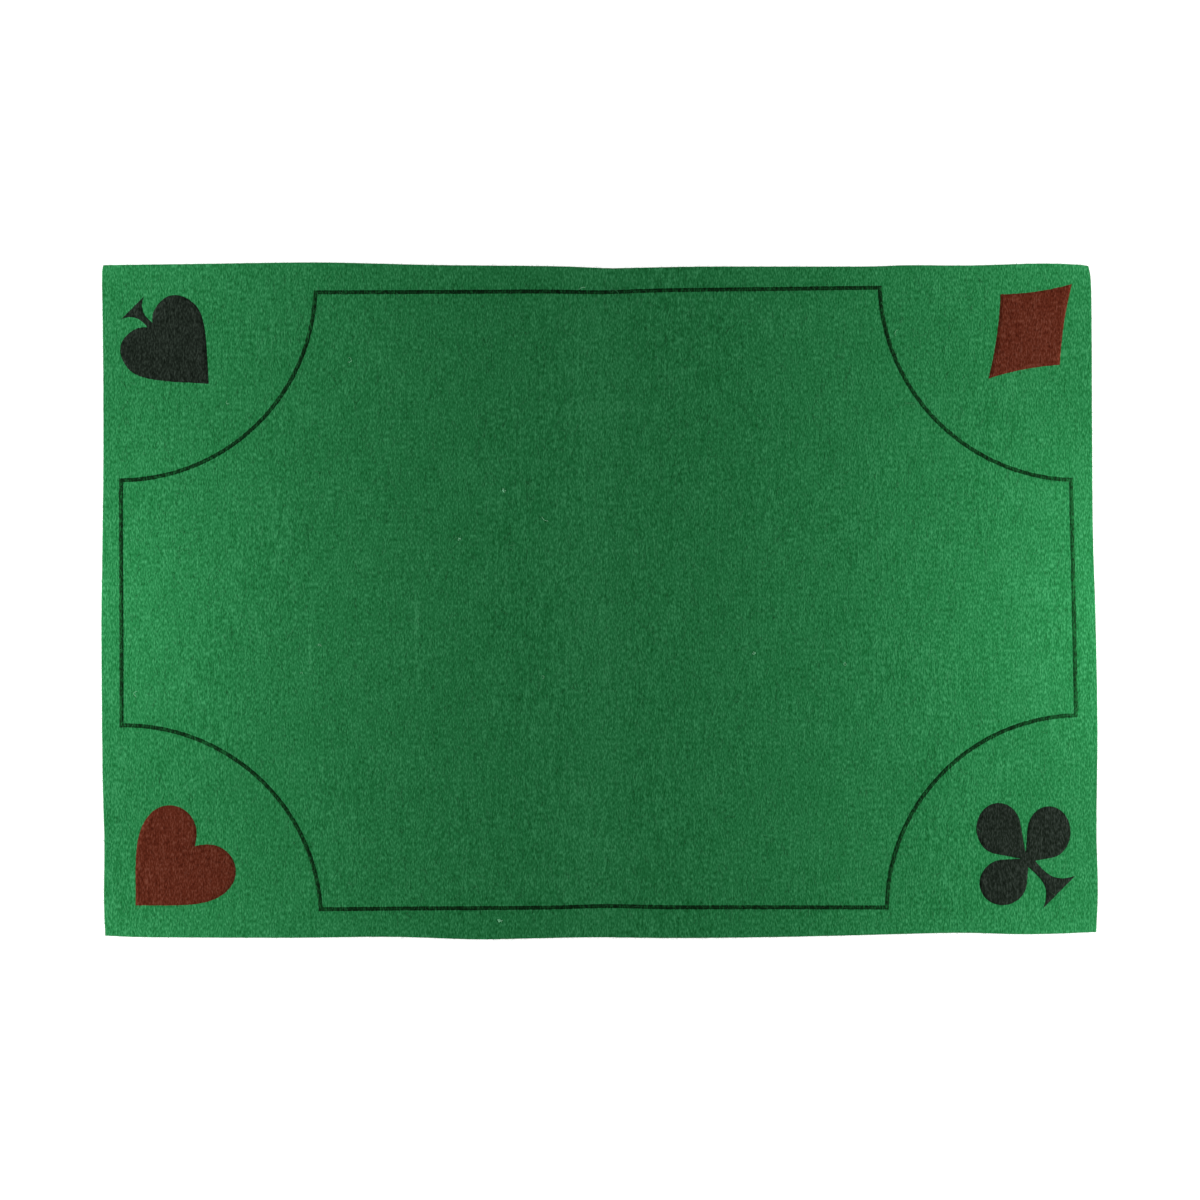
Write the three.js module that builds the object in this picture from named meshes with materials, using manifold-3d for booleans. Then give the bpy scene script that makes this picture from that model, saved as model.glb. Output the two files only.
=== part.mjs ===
// A felt playing mat that is laid over a table and folds in half across its middle.
// Millimetres. +Z is up, +X runs along the length, and the mat lies face up on the plane z = 0.
// The felt is one sheet. It is modelled as two panels that meet at the fold, which is the hinge line.
// The printed border crosses the fold, so it is cut there too. The four suit marks are whole.

import * as THREE from 'three';
import { mergeVertices } from 'three/addons/utils/BufferGeometryUtils.js';
import Module from 'manifold-3d';

const wasm = await Module();
wasm.setup();

// ---------------------------------------------------------------- driving dimensions

const FELT_THICKNESS = 1.5;
const INK_THICKNESS = 0.25;
const FOLD_X = 6;
const FOLD_GAP = 0.3;

// The border print: a rectangle whose corners are bitten out by circles. The middle of each circle
// is a little outside its corner of the rectangle, by a different amount at each corner.
const BORDER_HALF_LENGTH = 430;
const BORDER_HALF_WIDTH = 280;
const BORDER_LINE = 3.6;
const BITE_RADIUS = 177.6;
const BITE_TOP_RIGHT = [437.5, 282.1];
const BITE_TOP_LEFT = [430.5, 287.7];
const BITE_BOTTOM_LEFT = [429, 289.2];
const BITE_BOTTOM_RIGHT = [434.2, 284.2];
const BITE_STEPS = 18;
const LINE_STEPS = 14;

// How the print lies on the cut sheet, in millimetres at the border's ends.
const PRINT_SHIFT_X = -1.7;
const PRINT_SHIFT_Y = 1.4;
const PRINT_SHORTER = 1.3;
const PRINT_NARROWER = 2.4;
const PRINT_LEAN_X = 3.3;
const PRINT_LEAN_Y = 2.5;
const PRINT_TAPER_X = 2.6;
const PRINT_TAPER_Y = 1.1;
const PRINT_FLARE_Y = 2.2;

// The fold draws the print in a little across its width.
const FOLD_PINCH = 1.25;
const FOLD_PINCH_REACH = 39;

// The cut edges, each from one corner to the next. They waver by a few millimetres.
const TOP_EDGE = [
  [440.5, 301.5], [430, 302.9], [397, 303.8], [332, 302.1], [278, 302.3], [235, 301.1], [105, 301.1],
  [40, 300.1], [8, 299.7], [-46, 301.5], [-144, 302.4], [-198, 303.7], [-262, 304.8], [-360, 303.5],
  [-447, 302.4],
];
const LEFT_EDGE = [
  [-447, 302.4], [-448, 290.9], [-447.2, 234], [-446.8, 120], [-448.3, 0], [-448.4, -44],
  [-447.5, -152], [-445.9, -217], [-446.2, -270], [-445, -301.7],
];
const BOTTOM_EDGE = [
  [-445, -301.7], [-403, -303.1], [-284, -303.6], [-187, -302.8], [-111, -305], [-57, -304.1],
  [-8, -303.2], [73, -303.8], [161, -302.9], [235, -301.2], [321, -299.2], [375, -300.3],
  [409, -300], [447.6, -298.4],
];
const RIGHT_EDGE = [
  [447.6, -298.4], [449.1, -260], [447.9, -206], [448.7, -109], [446.9, -12], [444.6, 64],
  [443.7, 183], [443.4, 259], [442.6, 290], [440.5, 301.5],
];
const EDGE_STEPS = 3;

// The suit marks: where the middle of each one is printed, and how far it is turned. Each is drawn
// upright about its own middle, and "up" points towards the middle of the mat.
const SPADE_AT = [-387.9, 231.6];
const DIAMOND_AT = [388.1, 243.5];
const HEART_AT = [-379.4, -236.2];
const CLUB_AT = [379.6, -225.6];
const SPADE_TURN = -135;
const DIAMOND_TURN = 135;
const HEART_TURN = -45;
const CLUB_TURN = 45;
const CURVE_STEPS = 8;

// ---------------------------------------------------------------- materials

function matt(name, color, roughness) {
  return new THREE.MeshStandardMaterial({ name, color, roughness, metalness: 0 });
}

function feltMaterial() {
  return matt('green_felt', 0x2b7d48, 0.95);
}

function blackInkMaterial() {
  return matt('black_ink', 0x242d25, 0.85);
}

function redInkMaterial() {
  return matt('red_ink', 0x612d1f, 0.85);
}

// ---------------------------------------------------------------- solids

// A flat outline, as points, raised into a plate that stands from low to low + thickness.
function plate(outline, low, thickness, holes = []) {
  const shape = new THREE.Shape(outline);
  for (const hole of holes) {
    shape.holes.push(new THREE.Path(hole));
  }
  const geometry = new THREE.ExtrudeGeometry(shape, { depth: thickness, bevelEnabled: false });
  geometry.translate(0, 0, low);
  return geometry;
}

function toManifold(geometry) {
  const bare = new THREE.BufferGeometry();
  bare.setAttribute('position', geometry.getAttribute('position').clone());
  if (geometry.index) {
    bare.setIndex(geometry.index.clone());
  }
  const welded = mergeVertices(bare, 1e-4);
  const vertProperties = new Float32Array(welded.getAttribute('position').array);
  const triVerts = new Uint32Array(welded.index.array);
  return new wasm.Manifold(new wasm.Mesh({ numProp: 3, vertProperties, triVerts }));
}

function toGeometry(manifold) {
  const mesh = manifold.getMesh();
  const geometry = new THREE.BufferGeometry();
  geometry.setAttribute('position', new THREE.BufferAttribute(new Float32Array(mesh.vertProperties), 3));
  geometry.setIndex(new THREE.BufferAttribute(new Uint32Array(mesh.triVerts), 1));
  geometry.computeVertexNormals();
  return geometry;
}

// The part of a plate on one side of the fold: side -1 is the left half, side 1 the right half.
function halfOf(geometry, side) {
  const reach = 600;
  const keep = new THREE.BoxGeometry(reach, 2 * reach, reach);
  keep.translate(FOLD_X + side * (FOLD_GAP + reach) / 2, 0, 0);
  return toGeometry(toManifold(geometry).intersect(toManifold(keep)));
}

function named(name, geometry, material) {
  const mesh = new THREE.Mesh(geometry, material);
  mesh.name = name;
  return mesh;
}

// ---------------------------------------------------------------- the felt sheet

// A smooth edge through its points, without the last one, which the next edge starts with.
function smoothEdge(points) {
  const curve = new THREE.SplineCurve(points.map(([x, y]) => new THREE.Vector2(x, y)));
  return curve.getPoints((points.length - 1) * EDGE_STEPS).slice(0, -1);
}

function feltSheet() {
  const outline = [TOP_EDGE, LEFT_EDGE, BOTTOM_EDGE, RIGHT_EDGE].flatMap(smoothEdge);
  return plate(outline, 0, FELT_THICKNESS);
}

// ---------------------------------------------------------------- the border print

// Where a point of the border drawing lies on the sheet. The print is not quite
// square: it is a little off centre, turned and tapered, and the fold draws it in.
function settle(x, y) {
  const u = x / BORDER_HALF_LENGTH;
  const v = y / BORDER_HALF_WIDTH;
  const pinch = FOLD_PINCH * Math.exp(-(((x - FOLD_X) / FOLD_PINCH_REACH) ** 2));
  const dx = PRINT_SHIFT_X - PRINT_SHORTER * u - PRINT_LEAN_X * v - PRINT_TAPER_X * u * v;
  const widthways = -PRINT_NARROWER + PRINT_TAPER_Y * u + PRINT_FLARE_Y * u * u - pinch;
  const dy = PRINT_SHIFT_Y + PRINT_LEAN_Y * u + widthways * v;
  return new THREE.Vector2(x + dx, y + dy);
}

// Points from one end of a straight line up to, and without, the other end.
function straight(from, to) {
  const points = [];
  for (let i = 0; i < LINE_STEPS; i += 1) {
    const t = i / LINE_STEPS;
    points.push([from[0] + (to[0] - from[0]) * t, from[1] + (to[1] - from[1]) * t]);
  }
  return points;
}

// One corner bite round its middle, from the long line to the short line. sx and sy pick the corner.
function bite([middleX, middleY], sx, sy, out) {
  const radius = BITE_RADIUS - out;
  const start = Math.asin((middleY - BORDER_HALF_WIDTH - out) / radius);
  const end = Math.acos((middleX - BORDER_HALF_LENGTH - out) / radius);
  const points = [];
  for (let i = 0; i <= BITE_STEPS; i += 1) {
    const angle = start + (end - start) * (i / BITE_STEPS);
    const x = middleX - radius * Math.cos(angle);
    const y = middleY - radius * Math.sin(angle);
    points.push([sx * x, sy * y]);
  }
  return points;
}

// The border as a closed loop, moved outwards by the given distance.
function borderLoop(out) {
  const corners = [
    bite(BITE_TOP_RIGHT, 1, 1, out).reverse(),
    bite(BITE_TOP_LEFT, -1, 1, out),
    bite(BITE_BOTTOM_LEFT, -1, -1, out).reverse(),
    bite(BITE_BOTTOM_RIGHT, 1, -1, out),
  ];
  const loop = [];
  corners.forEach((corner, i) => {
    const next = corners[(i + 1) % corners.length];
    loop.push(...corner.slice(0, -1), ...straight(corner[corner.length - 1], next[0]));
  });
  return loop.map(([x, y]) => settle(x, y));
}

function borderPrint() {
  const outer = borderLoop(BORDER_LINE / 2);
  const inner = borderLoop(-BORDER_LINE / 2);
  return plate(outer, FELT_THICKNESS, INK_THICKNESS, [inner]);
}

// ---------------------------------------------------------------- the suit marks

// A shape that is the same on both sides. top is its highest point and half lists the curves down
// its right side, each as control, control, end.
function evenShape(top, half) {
  const path = new THREE.Path();
  path.moveTo(...top);
  for (const [a, b, end] of half) {
    path.bezierCurveTo(...a, ...b, ...end);
  }
  const right = path.getPoints(CURVE_STEPS);
  const left = right.slice(1, -1).reverse().map((p) => new THREE.Vector2(-p.x, p.y));
  const last = right[right.length - 1];
  const flatBase = Math.abs(last.x) > 0 ? [new THREE.Vector2(-last.x, last.y)] : [];
  return [...right, ...flatBase, ...left];
}

function spadeOutline() {
  return evenShape([0, 51.3], [
    [[17.3, 31], [41.7, 8], [41.7, -7.5]],
    [[41.7, -23.5], [32.8, -31.8], [22.6, -31.8]],
    [[12.5, -31.8], [7.2, -28.9], [3, -23.5]],
    [[2, -31.3], [2.9, -41.4], [14.7, -45.6]],
  ]);
}

function heartOutline() {
  return evenShape([0, 21.6], [
    [[6.4, 31.3], [12.7, 38.3], [25.9, 38.3]],
    [[35.3, 38.3], [49, 30.8], [49, 14]],
    [[49, -9.9], [23.6, -29.4], [0, -53.9]],
  ]);
}

// The diamond's sides bow inwards a little, and it is drawn slightly askew.
function diamondOutline() {
  const tips = [[-4.1, 57.3], [41.9, -4], [3, -55.9], [-40.8, 3.2]];
  const inward = 0.88;
  const path = new THREE.Path();
  path.moveTo(...tips[0]);
  for (let i = 0; i < tips.length; i += 1) {
    const from = tips[i];
    const to = tips[(i + 1) % tips.length];
    const control = [inward * (from[0] + to[0]) / 2, inward * (from[1] + to[1]) / 2];
    path.quadraticCurveTo(...control, ...to);
  }
  return path.getPoints(CURVE_STEPS).slice(0, -1);
}

// An oval lobe that narrows to a point. lean is how far its first half size is turned from level.
function teardropOutline({ middle, halfSize, lean, tip }) {
  const [x, y] = middle;
  const [a, b] = halfSize;
  const turn = THREE.MathUtils.degToRad(lean);
  const origin = new THREE.Vector2();
  const tipWithin = new THREE.Vector2(tip[0] - x, tip[1] - y).rotateAround(origin, -turn);
  tipWithin.set(tipWithin.x / a, tipWithin.y / b);
  const opening = Math.acos(1 / tipWithin.length());
  const points = [new THREE.Vector2(...tip)];
  const steps = 4 * CURVE_STEPS;
  for (let i = 0; i <= steps; i += 1) {
    const angle = tipWithin.angle() + opening + (2 * Math.PI - 2 * opening) * (i / steps);
    const point = new THREE.Vector2(a * Math.cos(angle), b * Math.sin(angle));
    points.push(point.rotateAround(origin, turn).add(new THREE.Vector2(x, y)));
  }
  return points;
}

function clubStemOutline() {
  const lean = -1.2;
  const points = evenShape([0, -4], [
    [[2.5, -4], [4.9, -4.5], [4.9, -6.1]],
    [[3.6, -26.1], [-0.5, -41], [20.7, -50.3]],
  ]);
  return points.map((p) => new THREE.Vector2(p.x + lean, p.y));
}

// Three lobes on a stem. Each lobe narrows to its tip in the stem.
function clubSolid() {
  const lobes = [
    { middle: [0.3, 28.8], halfSize: [23, 20], lean: 43.5, tip: [-1.6, -9.5] },
    { middle: [-31, -8.5], halfSize: [21.5, 20.4], lean: -25.2, tip: [0.7, -9.7] },
    { middle: [30, -5.6], halfSize: [19.5, 23.3], lean: -45.8, tip: [-4.5, -9.8] },
  ];
  let solid = toManifold(plate(clubStemOutline(), 0, INK_THICKNESS));
  for (const lobe of lobes) {
    solid = solid.add(toManifold(plate(teardropOutline(lobe), 0, INK_THICKNESS)));
  }
  return toGeometry(solid);
}

// A mark laid on the felt, turned and moved to its corner.
function printed(name, geometry, material, [x, y], turn) {
  const mesh = named(name, geometry, material);
  mesh.position.set(x, y, FELT_THICKNESS);
  mesh.rotation.z = THREE.MathUtils.degToRad(turn);
  return mesh;
}

// ---------------------------------------------------------------- the mat

function mat() {
  const felt = feltMaterial();
  const black = blackInkMaterial();
  const red = redInkMaterial();
  const sheet = feltSheet();
  const border = borderPrint();

  const group = new THREE.Group();
  group.name = 'folding_felt_mat';
  group.add(
    named('felt_left_panel', halfOf(sheet, -1), felt),
    named('felt_right_panel', halfOf(sheet, 1), felt),
    named('border_print_left', halfOf(border, -1), black),
    named('border_print_right', halfOf(border, 1), black),
    printed('spade_print', plate(spadeOutline(), 0, INK_THICKNESS), black, SPADE_AT, SPADE_TURN),
    printed('heart_print', plate(heartOutline(), 0, INK_THICKNESS), red, HEART_AT, HEART_TURN),
    printed('diamond_print', plate(diamondOutline(), 0, INK_THICKNESS), red, DIAMOND_AT, DIAMOND_TURN),
    printed('club_print', clubSolid(), black, CLUB_AT, CLUB_TURN),
  );
  return group;
}

export default mat();
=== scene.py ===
# A felt playing mat, lying open and flat on a white floor, printed side up.
# The felt and the border print are each one piece that lies across the fold. Each suit mark rides
# on the half that it is printed on.

import math

import bpy
import numpy as np
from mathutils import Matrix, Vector
from mathutils.geometry import delaunay_2d_cdt
from mathutils.noise import noise


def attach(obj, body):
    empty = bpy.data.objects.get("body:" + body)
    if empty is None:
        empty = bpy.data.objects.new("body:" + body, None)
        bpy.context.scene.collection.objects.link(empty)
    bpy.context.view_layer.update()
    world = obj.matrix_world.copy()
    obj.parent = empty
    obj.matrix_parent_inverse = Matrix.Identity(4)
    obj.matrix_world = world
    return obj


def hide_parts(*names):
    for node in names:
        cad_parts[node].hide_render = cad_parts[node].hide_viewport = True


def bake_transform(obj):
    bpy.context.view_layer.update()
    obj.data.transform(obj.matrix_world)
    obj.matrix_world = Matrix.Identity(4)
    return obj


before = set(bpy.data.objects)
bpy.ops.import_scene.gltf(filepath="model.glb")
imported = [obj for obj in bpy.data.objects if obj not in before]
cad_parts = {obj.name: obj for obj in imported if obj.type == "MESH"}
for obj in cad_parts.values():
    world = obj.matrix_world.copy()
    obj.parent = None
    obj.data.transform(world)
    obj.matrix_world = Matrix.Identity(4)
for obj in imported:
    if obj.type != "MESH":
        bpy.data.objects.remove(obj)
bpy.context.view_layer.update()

MM = 0.001
LEFT, RIGHT = "left_half", "right_half"
rng = np.random.default_rng(11)

# ---------------------------------------------------------------- sizes

FELT_THICKNESS = 1.5
FOLD_X = 6.0
MEAN_LENGTH, MEAN_WIDTH = 892.0, 604.0

# The cut edges, each from its left or lower corner.
TOP_EDGE = [
    (-447, 302.4), (-360, 303.5), (-262, 304.8), (-198, 303.7), (-144, 302.4), (-46, 301.5),
    (8, 299.7), (40, 300.1), (105, 301.1), (235, 301.1), (278, 302.3), (332, 302.1), (397, 303.8),
    (430, 302.9), (440.5, 301.5),
]
BOTTOM_EDGE = [
    (-445, -301.7), (-403, -303.1), (-284, -303.6), (-187, -302.8), (-111, -305), (-57, -304.1),
    (-8, -303.2), (73, -303.8), (161, -302.9), (235, -301.2), (321, -299.2), (375, -300.3),
    (409, -300), (447.6, -298.4),
]
LEFT_EDGE = [
    (-445, -301.7), (-446.2, -270), (-445.9, -217), (-447.5, -152), (-448.4, -44), (-448.3, 0),
    (-446.8, 120), (-447.2, 234), (-448, 290.9), (-447, 302.4),
]
RIGHT_EDGE = [
    (447.6, -298.4), (449.1, -260), (447.9, -206), (448.7, -109), (446.9, -12), (444.6, 64),
    (443.7, 183), (443.4, 259), (442.6, 290), (440.5, 301.5),
]

# The border print, and how it lies on the cut sheet.
BORDER_HALF_LENGTH, BORDER_HALF_WIDTH = 430.0, 280.0
BORDER_LINE = 3.6
BITE_RADIUS = 177.6
BITES = {
    (1, 1): (437.5, 282.1),
    (-1, 1): (430.5, 287.7),
    (-1, -1): (429, 289.2),
    (1, -1): (434.2, 284.2),
}
PRINT_SHIFT = (-1.7, 1.4)
PRINT_SHORTER, PRINT_NARROWER = 1.3, 2.4
PRINT_LEAN = (3.3, 2.5)
PRINT_TAPER = (2.6, 1.1)
PRINT_FLARE = 2.2
FOLD_PINCH, FOLD_PINCH_REACH = 1.25, 39.0

# The suit marks: middle, and the turn that points "up" at the middle of the mat.
SPADE_AT, SPADE_TURN = (-387.9, 231.6), -135
DIAMOND_AT, DIAMOND_TURN = (388.1, 243.5), 135
HEART_AT, HEART_TURN = (-379.4, -236.2), -45
CLUB_AT, CLUB_TURN = (379.6, -225.6), 45

INK_PROUD = 0.08
INK_DEPTH = 0.16
INK_RAGGED = 0.28

# ---------------------------------------------------------------- the lie of the felt

# The sheet keeps a shallow valley along its fold, with a soft swell on each side, and ripples a
# little. Ripples rise on one half where they dip on the other, so the halves can lie face to face.
VALLEY_ROUNDING = 1.5
SWELL_HEIGHT, SWELL_REACH = 0.75, 30.0
RIPPLE_HEIGHT, RIPPLE_RAMP, RIPPLE_SWAP = 0.7, 70.0, 8.0
RIPPLE_LENGTHS = (260, 190, 150, 120, 95, 78)
# Each ripple's radians per millimetre, direction and phase.
RIPPLES = [
    (2 * math.pi / length, rng.uniform(0, math.pi), rng.uniform(0, 2 * math.pi))
    for length in RIPPLE_LENGTHS
]
CREASE_THINNING, CREASE_WIDTH = 0.15, 2.0


def underside(x, y):
    """Height of the felt's underside above the floor."""
    s = x - FOLD_X
    away = np.sqrt(s * s + VALLEY_ROUNDING**2) - VALLEY_ROUNDING
    swell = SWELL_HEIGHT * (away / SWELL_REACH) * np.exp(1 - away / SWELL_REACH)
    ripple = sum(
        np.sin(k * (away * math.cos(turn) + y * math.sin(turn)) + phase)
        for k, turn, phase in RIPPLES
    ) / len(RIPPLES)
    ramp = 1 - np.exp(-away / RIPPLE_RAMP)
    return swell + RIPPLE_HEIGHT * ramp * (1 + np.tanh(s / RIPPLE_SWAP) * ripple)


def upper_face(x, y):
    """Height of the felt's printed face above the floor."""
    thinning = CREASE_THINNING * np.exp(-(((x - FOLD_X) / CREASE_WIDTH) ** 2))
    return underside(x, y) + FELT_THICKNESS - thinning


# ---------------------------------------------------------------- mesh helpers


def smooth_curve(points, per_span=8):
    """A Catmull-Rom curve through the points."""
    p = np.array(points, float)
    p = np.vstack([2 * p[0] - p[1], p, 2 * p[-1] - p[-2]])
    t = np.linspace(0, 1, per_span, endpoint=False)[:, None]
    spans = []
    for a, b, c, d in zip(p[:-3], p[1:-2], p[2:-1], p[3:]):
        squared, cubed = 2 * a - 5 * b + 4 * c - d, 3 * b - a - 3 * c + d
        spans.append(0.5 * (2 * b + (c - a) * t + squared * t**2 + cubed * t**3))
    return np.vstack(spans + [p[-2:-1]])


def joined_parts(parts):
    """One list of points, faces and face tints from several."""
    points, faces, tints, first = [], [], [], 0
    for part_points, part_faces, part_tints in parts:
        points.append(part_points)
        faces += [[i + first for i in face] for face in part_faces]
        tints.append(part_tints)
        first += len(part_points)
    return np.vstack(points), faces, np.concatenate(tints)


def make_piece(name, points, faces, materials, face_materials=None):
    """A mesh object from points in millimetres. Each point also keeps its place on the flat mat."""
    mesh = bpy.data.meshes.new(name)
    points = np.asarray(points, float) * MM
    mesh.from_pydata(points.tolist(), [], [list(f) for f in faces])
    rest = mesh.attributes.new("rest", "FLOAT_VECTOR", "POINT")
    rest.data.foreach_set("vector", points.astype(np.float32).ravel())
    for material in materials:
        mesh.materials.append(material)
    if face_materials is not None:
        mesh.polygons.foreach_set("material_index", np.asarray(face_materials, np.int32))
    mesh.polygons.foreach_set("use_smooth", np.ones(len(mesh.polygons), bool))
    mesh.validate()
    mesh.update()
    piece = bpy.data.objects.new(name, mesh)
    bpy.context.scene.collection.objects.link(piece)
    return piece


# ---------------------------------------------------------------- materials


def new_node(tree, kind, inputs=None, **settings):
    """A node with these settings, and with its inputs linked or set to these values."""
    node = tree.nodes.new(kind)
    for key, value in settings.items():
        setattr(node, key, value)
    for key, value in (inputs or {}).items():
        if isinstance(value, bpy.types.NodeSocket):
            tree.links.new(value, node.inputs[key])
        else:
            node.inputs[key].default_value = value
    return node


def math_node(tree, operation, a, b=0.0):
    """The output of a Math node. Operations on one value leave b out."""
    return new_node(tree, "ShaderNodeMath", {0: a, 1: b}, operation=operation).outputs[0]


def patch_noise(tree, rest, cells_per_m, detail, roughness=0.55):
    """Noise from 0 to 1 whose patches are 1 / cells_per_m metres along X, Y and Z."""
    scaled = new_node(
        tree, "ShaderNodeVectorMath", {0: rest, 1: cells_per_m}, operation="MULTIPLY"
    ).outputs[0]
    inputs = {"Vector": scaled, "Scale": 1.0, "Detail": detail, "Roughness": roughness}
    return new_node(tree, "ShaderNodeTexNoise", inputs, noise_dimensions="3D").outputs["Fac"]


# How many patches of each pattern there are in a metre, along X, Y and Z.
GRAIN_CELLS = (880.0, 300.0, 500.0)
FIBRE_CELLS = (1700.0, 500.0, 1000.0)
STREAK_CELLS = (330.0, 38.0, 60.0)
CLOUD_CELLS = (22.0, 16.0, 20.0)

# Where on the colour ramp each surface's darkest, middle and lightest colour are, and how much of
# the bump comes from the fibres.
STOP_PLACES = (0.05, 0.5, 0.95)
FIBRE_BUMP = 0.4
SMOOTHEST, ROUGHEST = 0.84, 1.0
SHEEN_TINT = (0.6, 0.85, 0.65, 1)

# Places where the surface is paler: the middle, how far it reaches along X and Y, and how
# much. The felt's are a band beside the fold, painted lighter where the crease catches light, and
# three worn scuffs; the line's place is worn.
FELT_LIT_BAND_AND_SCUFFS = (
    # Painted light: the band beside the fold is made lighter where the crease catches light.
    (-8.0, 0.0, 34.0, 5000.0, 0.06),
    (-165.0, -18.0, 2.2, 27.0, 0.26),
    (-261.0, -51.0, 1.7, 24.0, 0.26),
    (23.0, 174.0, 28.0, 5.0, 0.09),
)
LINE_RUBBED = ((446.0, 0.0, 30.0, 210.0, 0.3),)


def patch(tree, x, y, place):
    """How much paler one place is made: strongest in its middle, and fading with distance."""
    middle_x, middle_y, reach_x, reach_y, strength = place
    off_x = math_node(tree, "DIVIDE", math_node(tree, "SUBTRACT", x, middle_x * MM), reach_x * MM)
    off_y = math_node(tree, "DIVIDE", math_node(tree, "SUBTRACT", y, middle_y * MM), reach_y * MM)
    square_x, square_y = math_node(tree, "POWER", off_x, 2.0), math_node(tree, "POWER", off_y, 2.0)
    squares = math_node(tree, "ADD", square_x, square_y)
    fading = math_node(tree, "EXPONENT", math_node(tree, "MULTIPLY", squares, -1.0))
    return math_node(tree, "MULTIPLY", fading, strength)


def fibrous(name, stops, spread, specular, sheen, bump, wear_and_painted_light):
    """A fibrous surface. stops are its darkest, middle and lightest colour. spread is how strongly
    the grain, the fibres, the streaks and the clouds each move the colour between them, bump is how
    deep the grain is, and the last argument lists the places that are paler: worn places, and on
    the felt a band beside the fold that is painted lighter where the crease catches light."""
    material = bpy.data.materials.new(name)
    material.use_nodes = True
    tree = material.node_tree
    shader = tree.nodes["Principled BSDF"]
    rest = new_node(
        tree, "ShaderNodeAttribute", attribute_type="GEOMETRY", attribute_name="rest"
    ).outputs["Vector"]
    grain = patch_noise(tree, rest, GRAIN_CELLS, 0.5)
    fibres = patch_noise(tree, rest, FIBRE_CELLS, 2.0)
    streaks = patch_noise(tree, rest, STREAK_CELLS, 1.0)
    clouds = patch_noise(tree, rest, CLOUD_CELLS, 2.0)
    at = new_node(tree, "ShaderNodeSeparateXYZ", {0: rest}).outputs
    tone = 0.5
    # Paler places: worn places, and on the felt a painted lighter band beside the fold.
    for place in wear_and_painted_light:
        tone = math_node(tree, "ADD", patch(tree, at["X"], at["Y"], place), tone)
    for pattern, amount in zip((grain, fibres, streaks, clouds), spread):
        offset = math_node(tree, "MULTIPLY", math_node(tree, "SUBTRACT", pattern, 0.5), amount)
        tone = math_node(tree, "ADD", offset, tone)
    ramp = new_node(tree, "ShaderNodeValToRGB", {"Fac": tone})
    elements = ramp.color_ramp.elements
    elements.new(0.5)
    for element, place, colour in zip(elements, STOP_PLACES, stops):
        element.position, element.color = place, (*colour, 1)
    tree.links.new(ramp.outputs["Color"], shader.inputs["Base Color"])
    height = math_node(tree, "ADD", grain, math_node(tree, "MULTIPLY", fibres, FIBRE_BUMP))
    bump_inputs = {"Strength": 1.0, "Distance": bump * MM, "Height": height}
    bumped = new_node(tree, "ShaderNodeBump", bump_inputs)
    tree.links.new(bumped.outputs["Normal"], shader.inputs["Normal"])
    roughness = new_node(
        tree, "ShaderNodeMapRange", {"Value": grain, "To Min": SMOOTHEST, "To Max": ROUGHEST}
    ).outputs["Result"]
    tree.links.new(roughness, shader.inputs["Roughness"])
    shader.inputs["Specular IOR Level"].default_value = specular
    shader.inputs["Sheen Weight"].default_value = sheen
    shader.inputs["Sheen Roughness"].default_value = 0.5
    shader.inputs["Sheen Tint"].default_value = SHEEN_TINT
    return material


def plain(name, colour, roughness=0.9, sheen=0.1):
    """One colour, for fibres too fine to show any pattern."""
    material = bpy.data.materials.new(name)
    material.use_nodes = True
    shader = material.node_tree.nodes["Principled BSDF"]
    shader.inputs["Base Color"].default_value = (*colour, 1)
    shader.inputs["Roughness"].default_value = roughness
    shader.inputs["Specular IOR Level"].default_value = 0.1
    shader.inputs["Sheen Weight"].default_value = sheen
    return material


FELT_DARK = (0.0012, 0.111, 0.0184)
FELT_MID = (0.0172, 0.216, 0.061)
FELT_LIGHT = (0.0656, 0.380, 0.145)
BLACK_INK = ((0.0015, 0.0048, 0.0018), (0.0130, 0.0205, 0.0140), (0.0380, 0.0520, 0.0400))
RED_INK = ((0.0550, 0.0060, 0.0010), (0.115, 0.0205, 0.0085), (0.1850, 0.0540, 0.0320))
LINE_INK = ((0.0008, 0.010, 0.0018), (0.0035, 0.034, 0.0085), (0.012, 0.14, 0.034))

FELT_COLOURS = (FELT_DARK, FELT_MID, FELT_LIGHT)

# The felt's paler places include a painted lighter band beside the fold, besides worn scuffs.
felt_green = fibrous(
    "felt_green", FELT_COLOURS, (1.2, 0.8, 0.4, 0.12), 0.12, 0.06, 0.2, FELT_LIT_BAND_AND_SCUFFS
)
black_ink = fibrous("black_ink", BLACK_INK, (1.4, 0.9, 0.5, 0.12), 0.08, 0.0, 0.2, ())
red_ink = fibrous("red_ink", RED_INK, (1.3, 0.8, 0.5, 0.3), 0.08, 0.0, 0.2, ())
line_ink = fibrous("line_ink", LINE_INK, (1.4, 0.9, 0.5, 0.4), 0.08, 0.0, 0.2, LINE_RUBBED)
fibre_tints = [
    plain("fibre_mid", FELT_MID),
    plain("fibre_light", (0.04, 0.30, 0.10)),
    plain("fibre_dark", (0.008, 0.16, 0.035)),
]
lint_pale = plain("lint_pale", (0.36, 0.88, 0.52))

# ---------------------------------------------------------------- the felt sheet

GRID_STEP = 4.0
FOLD_ROWS, FOLD_ROWS_REACH = 10, 12.0

# Rings of points close to the cut edge: how far in each ring is, and how far its upper and lower
# points are from the felt's two faces. The outermost ring is shared by the upper and lower face.
RIM = [(0.0, 0.75, 0.75), (0.07, 0.36, 0.25), (0.3, 0.12, 0.08), (0.9, 0.02, 0.0), (1.8, 0.0, 0.0)]
CUT_WAVER, WAVER_LENGTH, WAVER_REACH = 0.18, 5.0, 2.0


def spaced(low, high, step):
    """Even places from low to high, about step apart."""
    return np.linspace(low, high, max(2, int(round((high - low) / step)) + 1))


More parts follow.
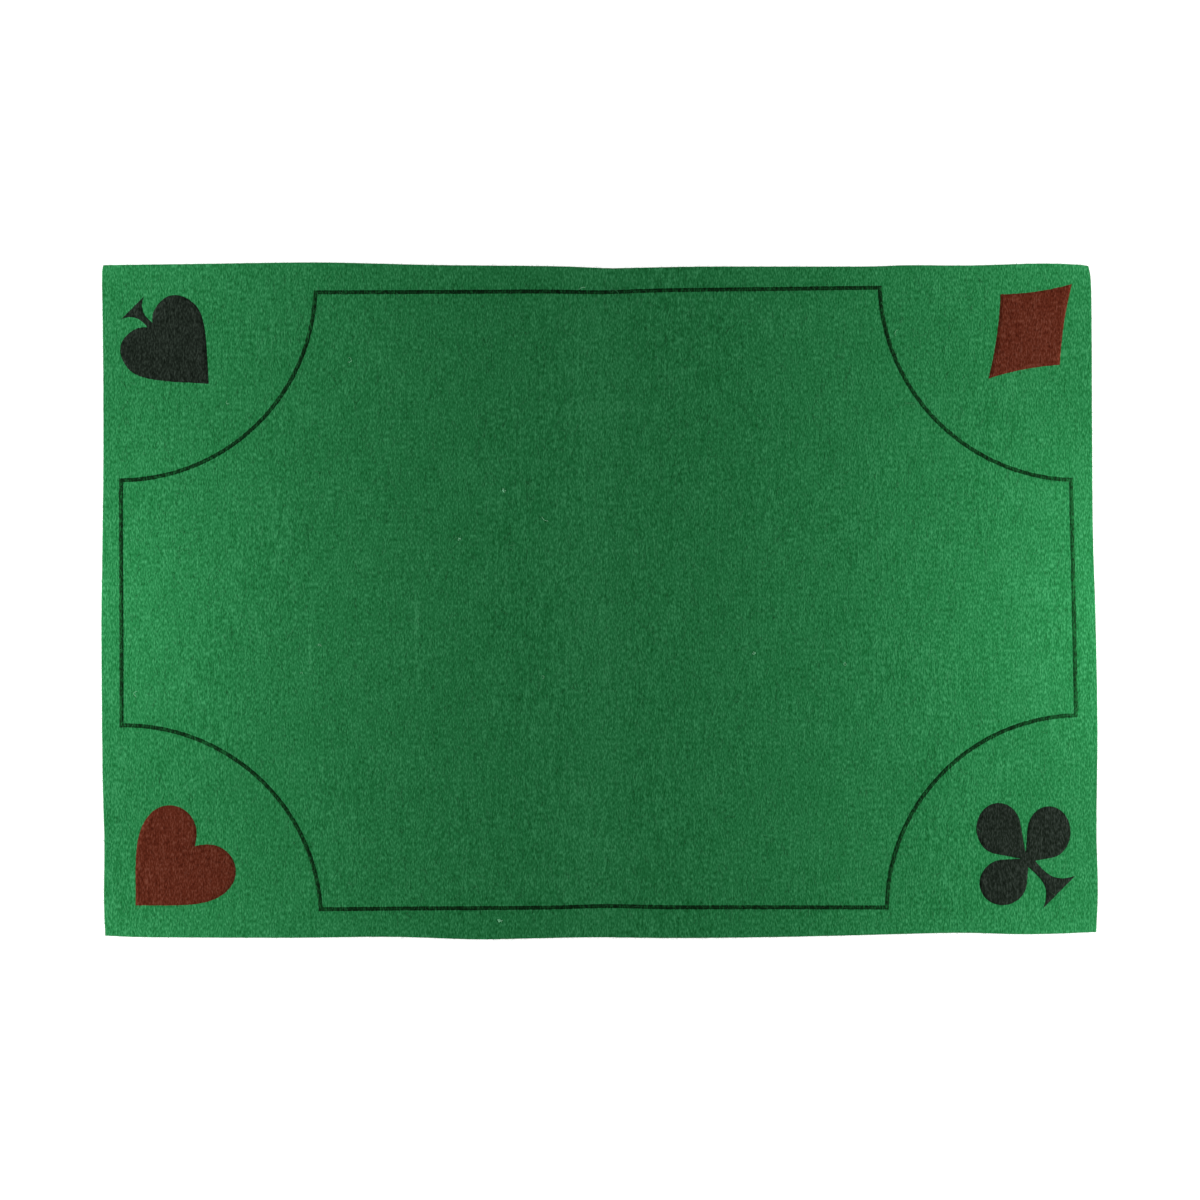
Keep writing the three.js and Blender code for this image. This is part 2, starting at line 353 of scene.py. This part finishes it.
def lengthwise_places():
    """Places along the sheet's length from 0 to 1, closest together at the rim and at the fold."""
    half = MEAN_LENGTH / 2
    rim = np.array([ring[0] for ring in RIM]) / half
    inner = spaced(RIM[-1][0] + GRID_STEP, half - FOLD_ROWS_REACH, GRID_STEP) / half
    to_fold = np.concatenate([rim, inner])
    near_fold = 1 - np.arange(FOLD_ROWS, 0, -1) / half
    one_side = np.concatenate([to_fold, near_fold]) / 2
    return np.concatenate([one_side, [0.5], 1 - one_side[::-1]])


def widthwise_places():
    """Places across the sheet's width from 0 to 1, closest together at the rim."""
    rim = np.array([ring[0] for ring in RIM]) / MEAN_WIDTH
    margin = RIM[-1][0] + GRID_STEP
    inner = spaced(margin, MEAN_WIDTH - margin, GRID_STEP) / MEAN_WIDTH
    return np.concatenate([rim, inner, 1 - rim[::-1]])


def long_edge(points, u):
    """Points on a long edge. The fold is at u = 0.5."""
    curve = smooth_curve(points)
    x = np.interp(u, [0, 0.5, 1], [curve[0, 0], FOLD_X, curve[-1, 0]])
    return np.stack([x, np.interp(x, curve[:, 0], curve[:, 1])], -1)


def short_edge(points, v):
    """Points on a short edge."""
    curve = smooth_curve(points)
    y = np.interp(v, [0, 1], [curve[0, 1], curve[-1, 1]])
    return np.stack([np.interp(y, curve[:, 1], curve[:, 0]), y], -1)


def sheet_plan(u, v):
    """Where each (u, v) is on the mat: a patch stretched between the four cut edges."""
    top, bottom = long_edge(TOP_EDGE, u)[:, None], long_edge(BOTTOM_EDGE, u)[:, None]
    left, right = short_edge(LEFT_EDGE, v)[None], short_edge(RIGHT_EDGE, v)[None]
    a, b = u[:, None, None], v[None, :, None]
    lower_corners = (1 - a) * (1 - b) * bottom[0, 0] + a * (1 - b) * bottom[-1, 0]
    upper_corners = (1 - a) * b * top[0, 0] + a * b * top[-1, 0]
    corners = lower_corners + upper_corners
    return (1 - b) * bottom + b * top + (1 - a) * left + a * right - corners


def inset_of(places, span):
    """How far in from the nearer end each place is, in millimetres."""
    return np.minimum(places, 1 - places) * span


def make_felt():
    """The felt as one closed sheet, with a soft rim."""
    u, v = lengthwise_places(), widthwise_places()
    plan = sheet_plan(u, v)
    inset = np.minimum(inset_of(u, MEAN_LENGTH)[:, None], inset_of(v, MEAN_WIDTH)[None])
    ring_in = [ring[0] for ring in RIM]
    drop = np.interp(inset, ring_in, [ring[1] for ring in RIM])
    lift = np.interp(inset, ring_in, [ring[2] for ring in RIM])
    waver = np.array([[noise(Vector((*(p / WAVER_LENGTH), 0))) for p in row] for row in plan])
    outward = plan / np.linalg.norm(plan, axis=-1, keepdims=True)
    plan = plan + outward * (CUT_WAVER * waver * np.exp(-inset / WAVER_REACH))[..., None]
    x, y = plan[..., 0], plan[..., 1]
    upper = np.stack([x, y, upper_face(x, y) - drop], -1)
    lower = np.stack([x, y, underside(x, y) + lift], -1)
    columns, rows = x.shape
    upper_id = np.arange(columns * rows).reshape(columns, rows)
    inside = np.zeros((columns, rows), bool)
    inside[1:-1, 1:-1] = True
    lower_id = upper_id.copy()
    lower_id[inside] = columns * rows + np.arange(inside.sum())
    points = np.vstack([upper.reshape(-1, 3), lower[inside]])

    def quads(ids, flip):
        around = [ids[:-1, :-1], ids[1:, :-1], ids[1:, 1:], ids[:-1, 1:]]
        faces = np.stack(around, -1).reshape(-1, 4)
        return faces[:, ::-1] if flip else faces

    faces = np.vstack([quads(upper_id, False), quads(lower_id, True)])
    return make_piece("felt_sheet", points, faces, [felt_green])


# ---------------------------------------------------------------- the prints

# How far apart the points of the outlines are, and how close points may be before they are one.
BORDER_STEP, FILM_STEP, JOIN_STEP = 6.0, 1.0, 0.8
SAME_POINT = 1e-5

# The points inside a film keep this share of their step clear of its outline.
FILL_GAP = 0.6


def settle(points):
    """Where points of the border's drawing lie on the sheet."""
    x, y = points[:, 0], points[:, 1]
    u, v = x / BORDER_HALF_LENGTH, y / BORDER_HALF_WIDTH
    pinch = FOLD_PINCH * np.exp(-(((x - FOLD_X) / FOLD_PINCH_REACH) ** 2))
    dx = PRINT_SHIFT[0] - PRINT_SHORTER * u - PRINT_LEAN[0] * v - PRINT_TAPER[0] * u * v
    widthways = -PRINT_NARROWER + PRINT_TAPER[1] * u + PRINT_FLARE * u * u - pinch
    dy = PRINT_SHIFT[1] + PRINT_LEAN[1] * u + widthways * v
    return np.stack([x + dx, y + dy], -1)


def bite(corner, out):
    """A bitten-out corner of the border, from the long line to the short line."""
    middle = BITES[corner]
    radius = BITE_RADIUS - out
    start = math.asin((middle[1] - BORDER_HALF_WIDTH - out) / radius)
    end = math.acos((middle[0] - BORDER_HALF_LENGTH - out) / radius)
    angle = np.linspace(start, end, 60)
    arc = np.stack([middle[0] - radius * np.cos(angle), middle[1] - radius * np.sin(angle)], -1)
    return arc * corner


def border_loop(out):
    """The border as a closed loop, moved outwards by this much."""
    corners = [
        bite((1, 1), out)[::-1],
        bite((-1, 1), out),
        bite((-1, -1), out)[::-1],
        bite((1, -1), out),
    ]
    return settle(evenly(np.vstack(corners), BORDER_STEP))


def evenly(loop, step):
    """The closed loop with extra points, so that none are further apart than step. Corners stay."""
    out = []
    for a, b in zip(loop, np.roll(loop, -1, axis=0)):
        count = max(1, int(math.ceil(np.linalg.norm(b - a) / step)))
        out.append(a + (b - a) * np.linspace(0, 1, count, endpoint=False)[:, None])
    return np.vstack(out)


def ragged(loop, amount):
    """The loop with its edge broken up, as ink spreads along fibres."""
    ahead, behind = np.roll(loop, -1, axis=0), np.roll(loop, 1, axis=0)
    along = ahead - behind
    across = np.stack([along[:, 1], -along[:, 0]], -1)
    across /= np.linalg.norm(along, axis=1, keepdims=True)
    fine = np.array([noise(Vector((x / 0.9, y / 2.2, 3))) for x, y in loop])
    coarse = np.array([noise(Vector((x / 4, y / 5, 7))) for x, y in loop])
    return loop + across * (amount * (fine + 0.6 * coarse))[:, None]


def inside_loops(points, loops):
    """True for each point that is inside an odd number of the loops."""
    odd = np.zeros(len(points), bool)
    x, y = points[:, 0], points[:, 1]
    for loop in loops:
        for (x0, y0), (x1, y1) in zip(loop, np.roll(loop, -1, axis=0)):
            if y0 == y1:
                continue
            crosses = (y0 > y) != (y1 > y)
            odd ^= crosses & (x < (x1 - x0) * (y - y0) / (y1 - y0) + x0)
    return odd


def film(loops, fill_step):
    """A thin film of ink on the felt's printed face, inside these closed loops. Its flat faces
    have more points fill_step apart, or none if fill_step is None."""
    loops = [ragged(evenly(loop, FILM_STEP), INK_RAGGED) for loop in loops]
    everything = np.vstack(loops)
    edges, first = [], 0
    for loop in loops:
        edges += [(first + i, first + (i + 1) % len(loop)) for i in range(len(loop))]
        first += len(loop)
    if fill_step:
        low, high = everything.min(0), everything.max(0)
        columns, rows = (np.arange(low[i], high[i], fill_step) for i in range(2))
        fill = np.stack([places.ravel() for places in np.meshgrid(columns, rows)], -1)
        fill = fill[inside_loops(fill, loops)]
        nearest = np.array([np.min(np.sum((everything - p) ** 2, axis=1)) for p in fill])
        everything = np.vstack([everything, fill[nearest > (FILL_GAP * fill_step) ** 2]])
    found = delaunay_2d_cdt([Vector(p) for p in everything], edges, [], 0, SAME_POINT)
    flat = np.array([tuple(p) for p in found[0]])
    triangles = np.array(found[2])
    triangles = triangles[inside_loops(flat[triangles].mean(1), loops)]
    a, b, c = (flat[triangles[:, i]] for i in range(3))
    one, other = b - a, c - a
    turned = one[:, 0] * other[:, 1] - one[:, 1] * other[:, 0] < 0
    triangles[turned] = triangles[turned][:, ::-1]
    used = {}
    for t in triangles.tolist():
        for i in range(3):
            used[(t[i], t[(i + 1) % 3])] = True
    rim = [(i, j) for i, j in used if (j, i) not in used]
    count = len(flat)
    face = upper_face(flat[:, 0], flat[:, 1]) + INK_PROUD
    top = np.column_stack([flat, face])
    bottom = np.column_stack([flat, face - INK_DEPTH])
    faces = triangles.tolist() + (triangles[:, ::-1] + count).tolist()
    faces += [(j, i, i + count, j + count) for i, j in rim]
    return np.vstack([top, bottom]), faces, np.zeros(len(faces), int)


def bezier(*controls):
    """Points along a quadratic or cubic curve, without its end."""
    t = np.linspace(0, 1, 24, endpoint=False)[:, None]
    degree = len(controls) - 1
    return sum(
        math.comb(degree, i) * (1 - t) ** (degree - i) * t**i * np.array(point, float)
        for i, point in enumerate(controls)
    )


def even_shape(start, half):
    """A closed shape that is the same on both sides, from the curves down its right side."""
    points, at = [], start
    for a, b, end in half:
        points.append(bezier(at, a, b, end))
        at = end
    right = np.vstack(points + [[at]])
    left = right[::-1] * (-1, 1)
    if at[0] == 0:
        left = left[1:]
    return np.vstack([right, left[:-1]])


def spade_shape():
    """The spade's outline, upright and about its middle."""
    return even_shape((0, 51.3), [
        ((17.3, 31), (41.7, 8), (41.7, -7.5)),
        ((41.7, -23.5), (32.8, -31.8), (22.6, -31.8)),
        ((12.5, -31.8), (7.2, -28.9), (3, -23.5)),
        ((2, -31.3), (2.9, -41.4), (14.7, -45.6)),
    ])


def heart_shape():
    """The heart's outline, upright and about its middle."""
    return even_shape((0, 21.6), [
        ((6.4, 31.3), (12.7, 38.3), (25.9, 38.3)),
        ((35.3, 38.3), (49, 30.8), (49, 14)),
        ((49, -9.9), (23.6, -29.4), (0, -53.9)),
    ])


def diamond_shape():
    """The diamond's outline, with sides that curve in a little."""
    tips = np.array([(-4.1, 57.3), (41.9, -4), (3, -55.9), (-40.8, 3.2)])
    inward = 0.88
    sides = [bezier(a, inward * (a + b) / 2, b) for a, b in zip(tips, np.roll(tips, -1, axis=0))]
    return np.vstack(sides)


def teardrop(middle, half_size, lean, tip):
    """An oval lobe that narrows to a tip. lean is how many degrees it is turned."""
    c, s = math.cos(math.radians(lean)), math.sin(math.radians(lean))
    turned = np.array([(c, s), (-s, c)])
    tip_within = (np.array(tip) - middle) @ turned.T / half_size
    opening = math.acos(1 / np.linalg.norm(tip_within))
    start = math.atan2(tip_within[1], tip_within[0]) + opening
    angle = start + np.linspace(0, 2 * math.pi - 2 * opening, 80)
    oval = (np.stack([np.cos(angle), np.sin(angle)], -1) * half_size) @ turned + middle
    return np.vstack([[tip], oval])


def club_shape():
    """The club's outline: three lobes and a stem, walked round as one loop."""
    stem = even_shape((0, -4), [
        ((2.5, -4), (4.9, -4.5), (4.9, -6.1)),
        ((3.6, -26.1), (-0.5, -41), (20.7, -50.3)),
    ])
    lobes = [
        teardrop((0.3, 28.8), (23, 20), 43.5, (-1.6, -9.5)),
        teardrop((-31, -8.5), (21.5, 20.4), -25.2, (0.7, -9.7)),
        teardrop((30, -5.6), (19.5, 23.3), -45.8, (-4.5, -9.8)),
    ]
    return joined([stem + (-1.2, 0)] + lobes)


def joined(loops):
    """The outline round all of these overlapping loops."""
    parts = [evenly(loop, JOIN_STEP) for loop in loops]
    points, edges, first = np.vstack(parts), [], 0
    for part in parts:
        edges += [(first + i, first + (i + 1) % len(part)) for i in range(len(part))]
        first += len(part)
    found = delaunay_2d_cdt([Vector(p) for p in points], edges, [], 0, SAME_POINT)
    flat, triangles = np.array([tuple(p) for p in found[0]]), np.array(found[2])
    middles = flat[triangles].mean(1)
    covered = np.any([inside_loops(middles, [part]) for part in parts], axis=0)
    sides = set()
    for t in triangles[covered].tolist():
        sides.update((t[i], t[(i + 1) % 3]) for i in range(3))
    following = {i: j for i, j in sides if (j, i) not in sides}
    at = first_point = next(iter(following))
    outline = []
    while True:
        outline.append(flat[at])
        at = following[at]
        if at == first_point:
            return np.array(outline)


def placed(shape, middle, turn):
    """The shape turned by this many degrees, then moved to its middle."""
    c, s = math.cos(math.radians(turn)), math.sin(math.radians(turn))
    return shape @ np.array([(c, s), (-s, c)]) + middle


# ---------------------------------------------------------------- loose fibres


def strands(roots, heading, length, radius, curl, lift, tint_count, segments=4):
    """Fine three-sided fibres that start at their roots and wander over the felt. lift is how far
    each fibre's middle and end rise above its root."""
    count = len(roots)
    points = np.zeros((count, segments + 1, 3))
    at, way = roots[:, :2].copy(), heading.copy()
    height = roots[:, 2].copy()
    for k in range(segments + 1):
        share = k / segments
        points[:, k, :2] = at
        points[:, k, 2] = height + lift[:, 0] * math.sin(math.pi * share) + lift[:, 1] * share
        at = at + np.stack([np.cos(way), np.sin(way)], -1) * (length / segments)[:, None]
        way = way + curl * rng.normal(1, 0.6, count)
    points[:, :, 2] = np.maximum(points[:, :, 2], radius[:, None])
    along = np.gradient(points, axis=1)
    along /= np.linalg.norm(along, axis=-1, keepdims=True)
    side = np.cross(along, (0, 0, 1))
    side /= np.maximum(np.linalg.norm(side, axis=-1, keepdims=True), 1e-9)
    up = np.cross(side, along)
    taper = np.interp(np.arange(segments + 1), [0, 1, segments - 1, segments], [0.7, 1, 0.9, 0.35])
    rings = []
    thickness = (radius[:, None] * taper)[..., None]
    for angle in (90, 210, 330):
        a = math.radians(angle)
        rings.append(points + (side * math.cos(a) + up * math.sin(a)) * thickness)
    rings = np.stack(rings, 2)
    per = 3 * (segments + 1)
    pattern = []
    for k in range(segments):
        for j in range(3):
            a, b = 3 * k + j, 3 * k + (j + 1) % 3
            pattern.append((a, b, b + 3, a + 3))
    pattern = np.array(pattern)
    quads = (pattern[None] + (np.arange(count) * per)[:, None, None]).reshape(-1, 4)
    ends = []
    for first in range(0, per * count, per):
        last = first + per - 1
        ends += [(first + 2, first + 1, first), (last - 2, last - 1, last)]
    faces = quads.tolist() + ends
    tint = rng.integers(0, tint_count, count)
    face_tints = np.concatenate([np.repeat(tint, 3 * segments), np.repeat(tint, 2)])
    return rings.reshape(-1, 3), faces, face_tints


# The largest rectangle that stays on the mat wherever its edges waver.
INNER_X, INNER_Y = (-444, 441), (-298, 299)


def scattered(count, margin, reach):
    """Random places on the mat, at least margin in from its edges, and clear of the suit marks for
    reach all round."""
    x = rng.uniform(INNER_X[0] + margin, INNER_X[1] - margin, count)
    y = rng.uniform(INNER_Y[0] + margin, INNER_Y[1] - margin, count)
    clear = np.ones(count, bool)
    for shift in ((0, 0), (reach, 0), (-reach, 0), (0, reach), (0, -reach)):
        clear &= ~inside_loops(np.stack([x, y], -1) + shift, SUIT_LOOPS)
    return x[clear], y[clear]


def make_loose_fibres(tries=8600):
    """Fibres that lie loose on the printed face, mostly across the mat."""
    x, y = scattered(tries, 9, 5)
    count = len(x)
    radius = rng.uniform(0.05, 0.09, count)
    roots = np.stack([x, y, upper_face(x, y)], -1)
    heading = rng.choice([-1, 1], count) * math.pi / 2 + rng.normal(0, 0.55, count)
    length = rng.uniform(4, 12, count)
    curl = rng.normal(0, 0.3, count)
    lift = np.stack([rng.uniform(0.05, 0.4, count), rng.uniform(-0.05, 0.25, count)], -1)
    fibres = strands(roots, heading, length, radius, curl, lift, len(fibre_tints), segments=3)
    return make_piece("loose_fibres", *fibres[:2], fibre_tints, fibres[2])


# Where each speck of pale lint is, and how many fibres it is made of.
LINT_SPOTS = [(-86, 99.5, 6), (-126, 56, 5), (140, -47, 4), (-90, -288, 9), (-252, -39, 3)]
SPECK_SPREAD = 0.35
LINT_SEGMENTS = 7


def make_lint(tries=26):
    """Pale lint: stray fibres anywhere, and the specks."""
    x, y = scattered(tries, 15, 12)
    specks = np.vstack([
        np.tile((spot_x, spot_y), (fibres, 1)) + rng.normal(0, SPECK_SPREAD, (fibres, 2))
        for spot_x, spot_y, fibres in LINT_SPOTS
    ])
    in_speck = np.arange(len(x) + len(specks)) >= len(x)
    x, y = np.append(x, specks[:, 0]), np.append(y, specks[:, 1])
    count = len(x)
    speck_radius, stray_radius = rng.uniform(0.2, 0.32, count), rng.uniform(0.12, 0.24, count)
    radius = np.where(in_speck, speck_radius, stray_radius)
    roots = np.stack([x, y, upper_face(x, y) + radius], -1)
    heading = rng.uniform(0, 2 * math.pi, count)
    speck_length, stray_length = rng.uniform(1.2, 3.2, count), rng.uniform(3, 10, count)
    length = np.where(in_speck, speck_length, stray_length)
    curl = rng.choice([-1, 1], count) * rng.uniform(0.2, 0.9, count)
    lift = np.stack([rng.uniform(0.1, 0.5, count), np.full(count, 0.1)], -1)
    points, faces, tints = strands(roots, heading, length, radius, curl, lift, 2, LINT_SEGMENTS)
    sides, ends = np.repeat(np.arange(count), 3 * LINT_SEGMENTS), np.repeat(np.arange(count), 2)
    tints = np.where(in_speck[np.concatenate([sides, ends])], 0, tints)
    return make_piece("lint", points, faces, [lint_pale, fibre_tints[1]], tints)


def inked_fibres(loops, count):
    """Short inked fibres that lie on a printed mark and poke out over its edge."""
    everything = np.vstack(loops)
    low, high = everything.min(0), everything.max(0)
    spots = rng.uniform(low, high, (count, 2))
    spots = spots[inside_loops(spots, loops)]
    count = len(spots)
    radius = rng.uniform(0.05, 0.09, count)
    x, y = spots[:, 0], spots[:, 1]
    roots = np.stack([x, y, upper_face(x, y) + INK_PROUD], -1)
    heading = rng.choice([-1, 1], count) * math.pi / 2 + rng.normal(0, 0.6, count)
    lift = np.stack([rng.uniform(0.02, 0.25, count), rng.uniform(-0.05, 0.15, count)], -1)
    length, curl = rng.uniform(1.5, 6, count), rng.normal(0, 0.4, count)
    return strands(roots, heading, length, radius, curl, lift, 1)


def printed_mark(name, loops, material, fill_step, fibre_tries):
    """A mark printed on the felt: a film of ink and the inked fibres on it."""
    points, faces, tints = joined_parts([film(loops, fill_step), inked_fibres(loops, fibre_tries)])
    return make_piece(name, points, faces, [material], tints)


# How far ahead along the edge is looked to find its direction, and how deep the fuzz is rooted.
FUZZ_STEP, FUZZ_ROOT = 0.5, 0.15


def make_edge_fuzz(count=3000):
    """Short fibres that stand out from the cut edge."""
    loop = np.vstack([
        smooth_curve(BOTTOM_EDGE),
        smooth_curve(RIGHT_EDGE),
        smooth_curve(TOP_EDGE)[::-1],
        smooth_curve(LEFT_EDGE)[::-1],
    ])
    steps = np.linalg.norm(np.diff(loop, axis=0), axis=1)
    travelled = np.concatenate([[0], np.cumsum(steps)])
    where = rng.uniform(0, travelled[-1], count)
    x, y = (np.interp(where, travelled, loop[:, i]) for i in range(2))
    ahead_x, ahead_y = (np.interp(where + FUZZ_STEP, travelled, loop[:, i]) for i in range(2))
    outward = np.arctan2(ahead_y - y, ahead_x - x) - math.pi / 2
    x, y = x - FUZZ_ROOT * np.cos(outward), y - FUZZ_ROOT * np.sin(outward)
    roots = np.stack([x, y, underside(x, y) + rng.uniform(0.3, 1.25, count)], -1)
    heading = outward + rng.normal(0, 0.7, count)
    length = rng.uniform(0.6, 2.6, count)
    radius = rng.uniform(0.035, 0.06, count)
    curl = rng.normal(0, 0.5, count)
    lift = np.stack([rng.uniform(-0.1, 0.3, count), rng.uniform(-0.4, 0.5, count)], -1)
    fuzz = strands(roots, heading, length, radius, curl, lift, len(fibre_tints), segments=3)
    return make_piece("edge_fuzz", *fuzz[:2], fibre_tints, fuzz[2])


# ---------------------------------------------------------------- build and attach

BORDER_LOOPS = [border_loop(BORDER_LINE / 2), border_loop(-BORDER_LINE / 2)]
SPADE_LOOP = placed(spade_shape(), SPADE_AT, SPADE_TURN)
HEART_LOOP = placed(heart_shape(), HEART_AT, HEART_TURN)
DIAMOND_LOOP = placed(diamond_shape(), DIAMOND_AT, DIAMOND_TURN)
CLUB_LOOP = placed(club_shape(), CLUB_AT, CLUB_TURN)
SUIT_LOOPS = [SPADE_LOOP, HEART_LOOP, DIAMOND_LOOP, CLUB_LOOP]

# The tries are spread over each mark's whole box, and only those that fall on the mark are kept.
BORDER_FIBRE_TRIES, SUIT_FIBRE_TRIES = 40000, 500
SUIT_FILL_STEP = 3.5

felt = make_felt()
border = printed_mark("border_ink", BORDER_LOOPS, line_ink, None, BORDER_FIBRE_TRIES)
spade = printed_mark("spade_ink", [SPADE_LOOP], black_ink, SUIT_FILL_STEP, SUIT_FIBRE_TRIES)
heart = printed_mark("heart_ink", [HEART_LOOP], red_ink, SUIT_FILL_STEP, SUIT_FIBRE_TRIES)
diamond = printed_mark("diamond_ink", [DIAMOND_LOOP], red_ink, SUIT_FILL_STEP, SUIT_FIBRE_TRIES)
club = printed_mark("club_ink", [CLUB_LOOP], black_ink, SUIT_FILL_STEP, SUIT_FIBRE_TRIES)
loose_fibres = make_loose_fibres()
lint = make_lint()
edge_fuzz = make_edge_fuzz()

for piece in (felt, border, loose_fibres, lint, edge_fuzz):
    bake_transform(piece)
for piece, body in ((spade, LEFT), (heart, LEFT), (diamond, RIGHT), (club, RIGHT)):
    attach(piece, body)

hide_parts("felt_left_panel", "felt_right_panel")
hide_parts("border_print_left", "border_print_right")
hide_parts("spade_print")
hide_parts("heart_print")
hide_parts("diamond_print")
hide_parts("club_print")

# ---------------------------------------------------------------- floor, light and camera


FLOOR_HALF = 12000.0
FLOOR_GREY, FLOOR_GLOW = 0.3, 0.93
LIGHT_OUT, LIGHT_UP, LIGHT_TILT = 0.58, 0.22, 35
LIGHT_WIDTH, LIGHT_LENGTH = 0.15, 0.45
# From the near end of the mat to the far end, in watts.
LEFT_POWERS = (1.75, 1.24, 1.6)
RIGHT_POWERS = (1.81, 1.5, 1.6)
AMBIENT = 0.02
CAMERA_AT = (0.0006, 0.0007, 2.6)
SENSOR_WIDTH, WIDTH_SEEN = 36, 1.0814


def make_floor():
    """A plain white floor under the mat, which glows so that it stays pale far from the lights."""
    sides = ((-1, -1), (1, -1), (1, 1), (-1, 1))
    points = [(x * FLOOR_HALF, y * FLOOR_HALF, 0) for x, y in sides]
    white = bpy.data.materials.new("white_floor")
    white.use_nodes = True
    shader = white.node_tree.nodes["Principled BSDF"]
    shader.inputs["Base Color"].default_value = (FLOOR_GREY, FLOOR_GREY, FLOOR_GREY, 1)
    shader.inputs["Roughness"].default_value = 0.9
    shader.inputs["Emission Color"].default_value = (1, 1, 1, 1)
    shader.inputs["Emission Strength"].default_value = FLOOR_GLOW
    return make_piece("floor", points, [(0, 1, 2, 3)], [white])


def softbox(name, place, power, width, length, tilt):
    """A long light beside the mat, parallel to its short edges. It faces the middle of the mat,
    turned down from level by tilt degrees."""
    lamp = bpy.data.lights.new(name, "AREA")
    lamp.shape = "RECTANGLE"
    lamp.size, lamp.size_y = width, length
    lamp.energy = power
    holder = bpy.data.objects.new(name, lamp)
    side = math.copysign(1, place[0])
    down = math.radians(tilt)
    facing = Vector((-side * math.cos(down), 0, -math.sin(down)))
    holder.rotation_mode = "QUATERNION"
    holder.rotation_quaternion = facing.to_track_quat("-Z", "Y")
    holder.location = place
    holder.visible_camera = False
    bpy.context.scene.collection.objects.link(holder)
    return holder


def make_camera():
    """A camera that looks straight down, and sees WIDTH_SEEN metres of the floor."""
    lens = bpy.data.cameras.new("camera")
    lens.sensor_width = SENSOR_WIDTH
    lens.lens = SENSOR_WIDTH * CAMERA_AT[2] / WIDTH_SEEN
    holder = bpy.data.objects.new("camera", lens)
    holder.location = CAMERA_AT
    bpy.context.scene.collection.objects.link(holder)
    bpy.context.scene.camera = holder


def make_world():
    """Dim light from all round, in front of a white backdrop."""
    world = bpy.data.worlds.new("studio")
    world.use_nodes = True
    tree = world.node_tree
    seen = new_node(tree, "ShaderNodeLightPath").outputs["Is Camera Ray"]
    strength = math_node(tree, "ADD", seen, AMBIENT)
    tree.nodes["Background"].inputs["Color"].default_value = (1, 1, 1, 1)
    tree.links.new(strength, tree.nodes["Background"].inputs["Strength"])
    bpy.context.scene.world = world


make_floor()
for side, powers in ((-1, LEFT_POWERS), (1, RIGHT_POWERS)):
    for k, power in enumerate(powers):
        name = f"{'left' if side < 0 else 'right'}_softbox_{k}"
        place = (side * LIGHT_OUT, (k - 1) * LIGHT_LENGTH, LIGHT_UP)
        softbox(name, place, power, LIGHT_WIDTH, LIGHT_LENGTH, LIGHT_TILT)
make_camera()
make_world()
bpy.context.scene.view_settings.view_transform = "Standard"
